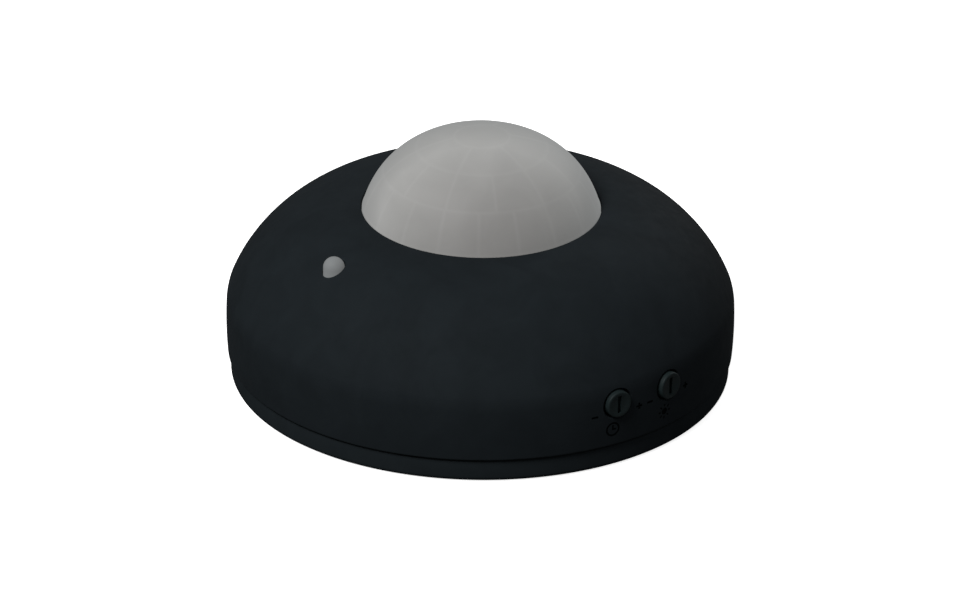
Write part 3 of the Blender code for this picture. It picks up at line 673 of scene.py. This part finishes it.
def bayonet_ledges():
    pieces = []
    reach = COLLAR_RADIUS + LEDGE_REACH
    for bearing in BAYONET_BEARINGS:
        flat = Matrix.Rotation(radians(bearing), 4, "Z")
        place = Matrix.Translation(at_bearing(bearing, reach, LEDGE_HEIGHT)) @ flat
        pieces.append(block("ledge", LEDGE_SIZE, place))
        shift = flat @ Vector((STOP_SHIFT, 0.0, 0.0))
        middle = at_bearing(bearing, reach, STOP_HEIGHT) + shift
        pieces.append(block("stop", STOP_SIZE, Matrix.Translation(middle) @ flat))
    return pieces


def make_housing():
    shell = revolve("housing_shell", [tuple(p) for p in housing_profile()], 288, ring=True)
    shell.data.materials.append(HOUSING_BLACK)
    pillars, pilots = housing_bosses()
    combine(shell, pillars + bayonet_ledges(), "UNION")
    cutters = pilots + [pin_hole_cutter(), adjuster_marks()]
    cutters += [knob_hole_cutter("time_turn"), knob_hole_cutter("lux_turn")]
    combine(shell, cutters, "DIFFERENCE")
    smooth(shell)
    finish_piece(shell, None, "head", "housing_black", "housing")


# ---------------------------------------------------------------- lens

def segment_ridge(point):
    """How near a point of the dome is to a border of the lens segments, from 0 to 1."""
    direction = (point - Vector((0.0, 0.0, LENS_CENTRE))).normalized()
    tilt = 90.0 - degrees(asin(max(-1.0, min(1.0, direction.z))))
    turn = degrees(atan2(direction.y, direction.x)) % 360.0
    nearest = 90.0
    for index, (start, count) in enumerate(LENS_RINGS):
        if index:
            nearest = min(nearest, abs(tilt - start))
        end = LENS_RINGS[index + 1][0] if index + 1 < len(LENS_RINGS) else 180.0
        if count > 1 and start <= tilt <= end:
            pitch = 360.0 / count
            shift = pitch / 2 if index % 2 else 0.0
            away = abs((turn - shift + pitch / 2) % pitch - pitch / 2)
            nearest = min(nearest, away * sin(radians(max(tilt, 1.0))))
    return max(0.0, 1.0 - nearest / SEGMENT_BORDER)


def mark_segments(item, inner_start, depth):
    """Stores the segment borders on the mesh, and cuts them into its inner side."""
    borders = item.data.attributes.new("segment", "FLOAT", "POINT")
    centre = Vector((0.0, 0.0, LENS_CENTRE))
    for vertex in item.data.vertices:
        if vertex.co.z < ROOF - 2 * MM:
            continue
        share = segment_ridge(vertex.co)
        borders.data[vertex.index].value = share
        if vertex.index >= inner_start:
            vertex.co += (vertex.co - centre).normalized() * depth * share


def make_lens():
    dome = bezier(LENS_DOME, 72)
    inside = inset(bezier(LENS_DOME, 60), -LENS_WALL)
    inside[0].x = 0.0
    rounding = 0.3 * MM
    bead = LENS_RADIUS + 0.18 * MM
    profile = [tuple(p) for p in dome]
    profile += [(bead, ROOF - 0.35 * MM), (bead, FLANGE_TOP + rounding)]
    profile += [(bead + rounding, FLANGE_TOP)]
    profile += [(FLANGE_RADIUS - rounding, FLANGE_TOP), (FLANGE_RADIUS, FLANGE_TOP - rounding)]
    profile += [(FLANGE_RADIUS, LENS_LOW.z), (LENS_RADIUS - LENS_WALL, LENS_LOW.z)]
    outer_rows = len(profile) - 1
    profile += [tuple(p) for p in reversed(inside)]
    steps = 216
    lens = revolve("lens_dome", profile, steps)
    mark_segments(lens, 1 + outer_rows * steps, SEGMENT_DEPTH)
    smooth(lens, 60)
    finish_piece(lens, LENS_MILK, "head", "lens_frosted", "fresnel_lens")


def make_pin():
    centre = PIN_HIGH.z - PIN_RADIUS
    profile = [(0.0, PIN_HIGH.z)]
    profile += [tuple(p) for p in arc((0.0, centre), PIN_RADIUS, 86, 0, 22)]
    collar, rim = PIN_COLLAR_TOP, PIN_COLLAR_RADIUS
    profile += [(PIN_RADIUS, collar + EDGE_BREAK), (PIN_RADIUS + EDGE_BREAK, collar)]
    profile += [(3.15 * MM, collar), (rim, collar - 0.15 * MM)]
    profile += [(rim, collar - PIN_COLLAR_THICKNESS), (PIN_STEM_RADIUS, collar - 1.6 * MM)]
    profile += [(PIN_FOOT_RADIUS, PIN_LOW.z + EDGE_BREAK)]
    profile += [(1.4 * MM, PIN_LOW.z), (0.0, PIN_LOW.z)]
    pin = revolve("guide_pin", profile, 64)
    pin.location = (PIN_PLACE, 0.0, 0.0)
    smooth(pin, 50)
    finish_piece(pin, PIN_GREY, "head", "guide_grey", "light_guide")


# ---------------------------------------------------------------- base plate

def base_profile():
    """The base plate's closed section, from its collar down the rim and back inside."""
    top = BASE_HIGH.z
    inner = COLLAR_RADIUS - COLLAR_WALL
    lip = CABLE_OPENING + CABLE_LIP
    round_in, round_out = 0.3 * MM, 0.45 * MM
    profile = arc((COLLAR_RADIUS - round_in, top - round_in), round_in, 90, 0, 5)
    profile.append(Vector((COLLAR_RADIUS, BASE_RIM)))
    profile += arc((BASE_RADIUS - round_out, BASE_RIM - round_out), round_out, 90, 0, 7)
    profile += arc((BASE_RADIUS - BASE_FILLET, BASE_FILLET), BASE_FILLET, 0, -90, 10)
    profile += [Vector((CABLE_OPENING + 0.3 * MM, 0.0)), Vector((CABLE_OPENING, 0.3 * MM))]
    profile += [Vector((CABLE_OPENING, CABLE_LIP_TOP - EDGE_BREAK)),
                Vector((CABLE_OPENING + EDGE_BREAK, CABLE_LIP_TOP)),
                Vector((lip - EDGE_BREAK, CABLE_LIP_TOP)),
                Vector((lip, CABLE_LIP_TOP - EDGE_BREAK))]
    profile += [Vector((lip, BASE_FLOOR)), Vector((inner, BASE_FLOOR))]
    profile.append(Vector((inner, top - round_in)))
    profile.append(Vector((inner + round_in, top)))
    return [tuple(p) for p in profile]


def slot_outline(half_length, radius, steps=16):
    outline = []
    for end, start in ((1, -90), (-1, 90)):
        for index in range(steps + 1):
            angle = radians(start + 180 * index / steps)
            outline.append((end * half_length + radius * cos(angle), radius * sin(angle)))
    return outline


def make_base():
    base = revolve("base_disc", base_profile(), 288, ring=True)
    lugs = []
    for bearing in BAYONET_BEARINGS:
        flat = Matrix.Rotation(radians(bearing), 4, "Z")
        middle = at_bearing(bearing, COLLAR_RADIUS + LUG_REACH, LUG_HEIGHT)
        lugs.append(block("lug", LUG_SIZE, Matrix.Translation(middle) @ flat))
    combine(base, lugs, "UNION")
    shape = bmesh.new()
    for side in (-1, 1):
        place = Matrix.Translation((side * FIXING_DISTANCE, 0, 0))
        prism(shape, slot_outline(FIXING_TRAVEL / 2, FIXING_RADIUS), -5 * MM, 4 * MM, place)
        place = Matrix.Translation((0, side * ROUND_FIXING_DISTANCE, 0))
        prism(shape, circle(FIXING_RADIUS), -5 * MM, 4 * MM, place)
    combine(base, [from_bmesh("fixings", shape)], "DIFFERENCE")
    smooth(base)
    finish_piece(base, BASE_BLACK, "base", "base_black", "base_plate")


# ---------------------------------------------------------------- adjusters

def make_knob(name, joint, body, node):
    """A screwdriver adjuster: rounded rim, dished face with a slot, shaft and blade."""
    rim, dish = KNOB_RIM, KNOB_DISH
    profile = [(0.0, KNOB_FACE - dish), (1.4 * MM, KNOB_FACE - dish),
               (1.9 * MM, KNOB_FACE - dish * 0.6), (2.2 * MM, KNOB_FACE - 0.05 * MM)]
    profile += [tuple(p) for p in arc((KNOB_RADIUS - rim, KNOB_FACE - rim), rim, 90, 0, 9)]
    profile += [(KNOB_RADIUS, KNOB_BACK + EDGE_BREAK), (KNOB_RADIUS - EDGE_BREAK, KNOB_BACK)]
    profile += [(SHAFT_RADIUS + EDGE_BREAK, KNOB_BACK), (SHAFT_RADIUS, KNOB_BACK - EDGE_BREAK)]
    profile += [(SHAFT_RADIUS, SHAFT_END), (0.0, SHAFT_END)]
    knob = revolve(name, profile, 96)
    blade = block("blade", BLADE_SIZE, Matrix.Translation((0, 0, SHAFT_END)))
    combine(knob, [blade], "UNION")
    slot = bmesh.new()
    width, length, depth = KNOB_SLOT
    prism(slot, rectangle(width, length), KNOB_FACE - depth, KNOB_FACE + 1 * MM, Matrix())
    combine(knob, [from_bmesh("slot", slot)], "DIFFERENCE")
    smooth(knob, 40)
    knob.matrix_world, _ = joint_frame(joint)
    finish_piece(knob, KNOB_GREY, body, "knob_black", node)


# ---------------------------------------------------------------- stage

def make_floor():
    """A pale floor, near white to the camera and dim to every other ray."""
    shape = bmesh.new()
    bmesh.ops.create_grid(shape, x_segments=24, y_segments=24, size=9.0)
    floor = from_bmesh("floor", shape)
    floor.location.z = -FLOOR_DROP
    shader = Shader("floor_white")
    grain = shader.noise(2.0, 2.0)
    pale = shader.mix(shader.between(grain, 0, 1), (0.80, 0.80, 0.80, 1), (0.83, 0.83, 0.83, 1))
    shader.principled(colour=pale, roughness=0.95, specular=0.0)
    glow = shader.node("Emission", {"Color": (1, 1, 1, 1), "Strength": FLOOR_GLOW})
    seen = shader.node("AddShader")
    shader.set(seen.inputs[0], shader.surface.outputs["BSDF"])
    shader.set(seen.inputs[1], glow.outputs["Emission"])
    dim = shader.node("BsdfDiffuse", {"Color": (FLOOR_DIM, FLOOR_DIM, FLOOR_DIM, 1)})
    path = shader.node("LightPath")
    blend = shader.node("MixShader", {"Fac": path.outputs["Is Camera Ray"]})
    shader.set(blend.inputs[1], dim.outputs["BSDF"])
    shader.set(blend.inputs[2], seen.outputs["Shader"])
    shader.set(shader.output.inputs["Surface"], blend.outputs["Shader"])
    floor.data.materials.append(shader.material)


def towards(azimuth, elevation):
    a, e = radians(azimuth), radians(elevation)
    return Vector((sin(a) * cos(e), -cos(a) * cos(e), sin(e)))


def area_light(name, azimuth, elevation, size, power):
    lamp = bpy.data.lights.new(name, "AREA")
    lamp.shape = "DISK"
    lamp.size = size
    lamp.energy = power
    made = bpy.data.objects.new(name, lamp)
    bpy.context.scene.collection.objects.link(made)
    back = towards(azimuth, elevation)
    made.location = VIEW_TARGET + back * LIGHT_DISTANCE
    made.rotation_mode = "QUATERNION"
    made.rotation_quaternion = (-back).to_track_quat("-Z", "Y")


def make_world():
    world = bpy.data.worlds.new("studio")
    world.use_nodes = True
    tree = world.node_tree
    backdrop = tree.nodes["Background"]
    backdrop.inputs["Color"].default_value = (1, 1, 1, 1)
    backdrop.inputs["Strength"].default_value = WORLD_LIGHT
    bright = tree.nodes.new("ShaderNodeBackground")
    bright.inputs["Color"].default_value = (1, 1, 1, 1)
    bright.inputs["Strength"].default_value = WORLD_SEEN
    path = tree.nodes.new("ShaderNodeLightPath")
    blend = tree.nodes.new("ShaderNodeMixShader")
    tree.links.new(path.outputs["Is Camera Ray"], blend.inputs["Fac"])
    tree.links.new(backdrop.outputs["Background"], blend.inputs[1])
    tree.links.new(bright.outputs["Background"], blend.inputs[2])
    tree.links.new(blend.outputs["Shader"], tree.nodes["World Output"].inputs["Surface"])
    bpy.context.scene.world = world
    bpy.context.scene.view_settings.view_transform = "Standard"


def make_camera():
    data = bpy.data.cameras.new("camera")
    data.sensor_width = 36.0
    data.lens = data.sensor_width * VIEW_DISTANCE / VIEW_WIDTH
    data.shift_x, data.shift_y = VIEW_SHIFT
    data.clip_end = 50.0
    made = bpy.data.objects.new("camera", data)
    bpy.context.scene.collection.objects.link(made)
    back = towards(VIEW_AZIMUTH, VIEW_ELEVATION)
    facing = (-back).to_track_quat("-Z", "Y").to_matrix().to_4x4()
    roll = Matrix.Rotation(radians(VIEW_ROLL), 4, "Z")
    made.matrix_world = Matrix.Translation(VIEW_TARGET + back * VIEW_DISTANCE) @ facing @ roll
    bpy.context.scene.camera = made


def dress_cad_nodes():
    for material, names in CAD_LOOKS.items():
        for name in names:
            mesh = frame["nodes"][name].data
            mesh.materials.clear()
            mesh.materials.append(material)


make_housing()
make_lens()
make_pin()
make_base()
make_knob("time_adjuster_knob", "time_turn", "time_adjuster", "time_knob")
make_knob("lux_adjuster_knob", "lux_turn", "lux_adjuster", "lux_knob")
dress_cad_nodes()
make_floor()
area_light("key", *KEY_LIGHT)
area_light("rim", *RIM_LIGHT)
make_world()
make_camera()
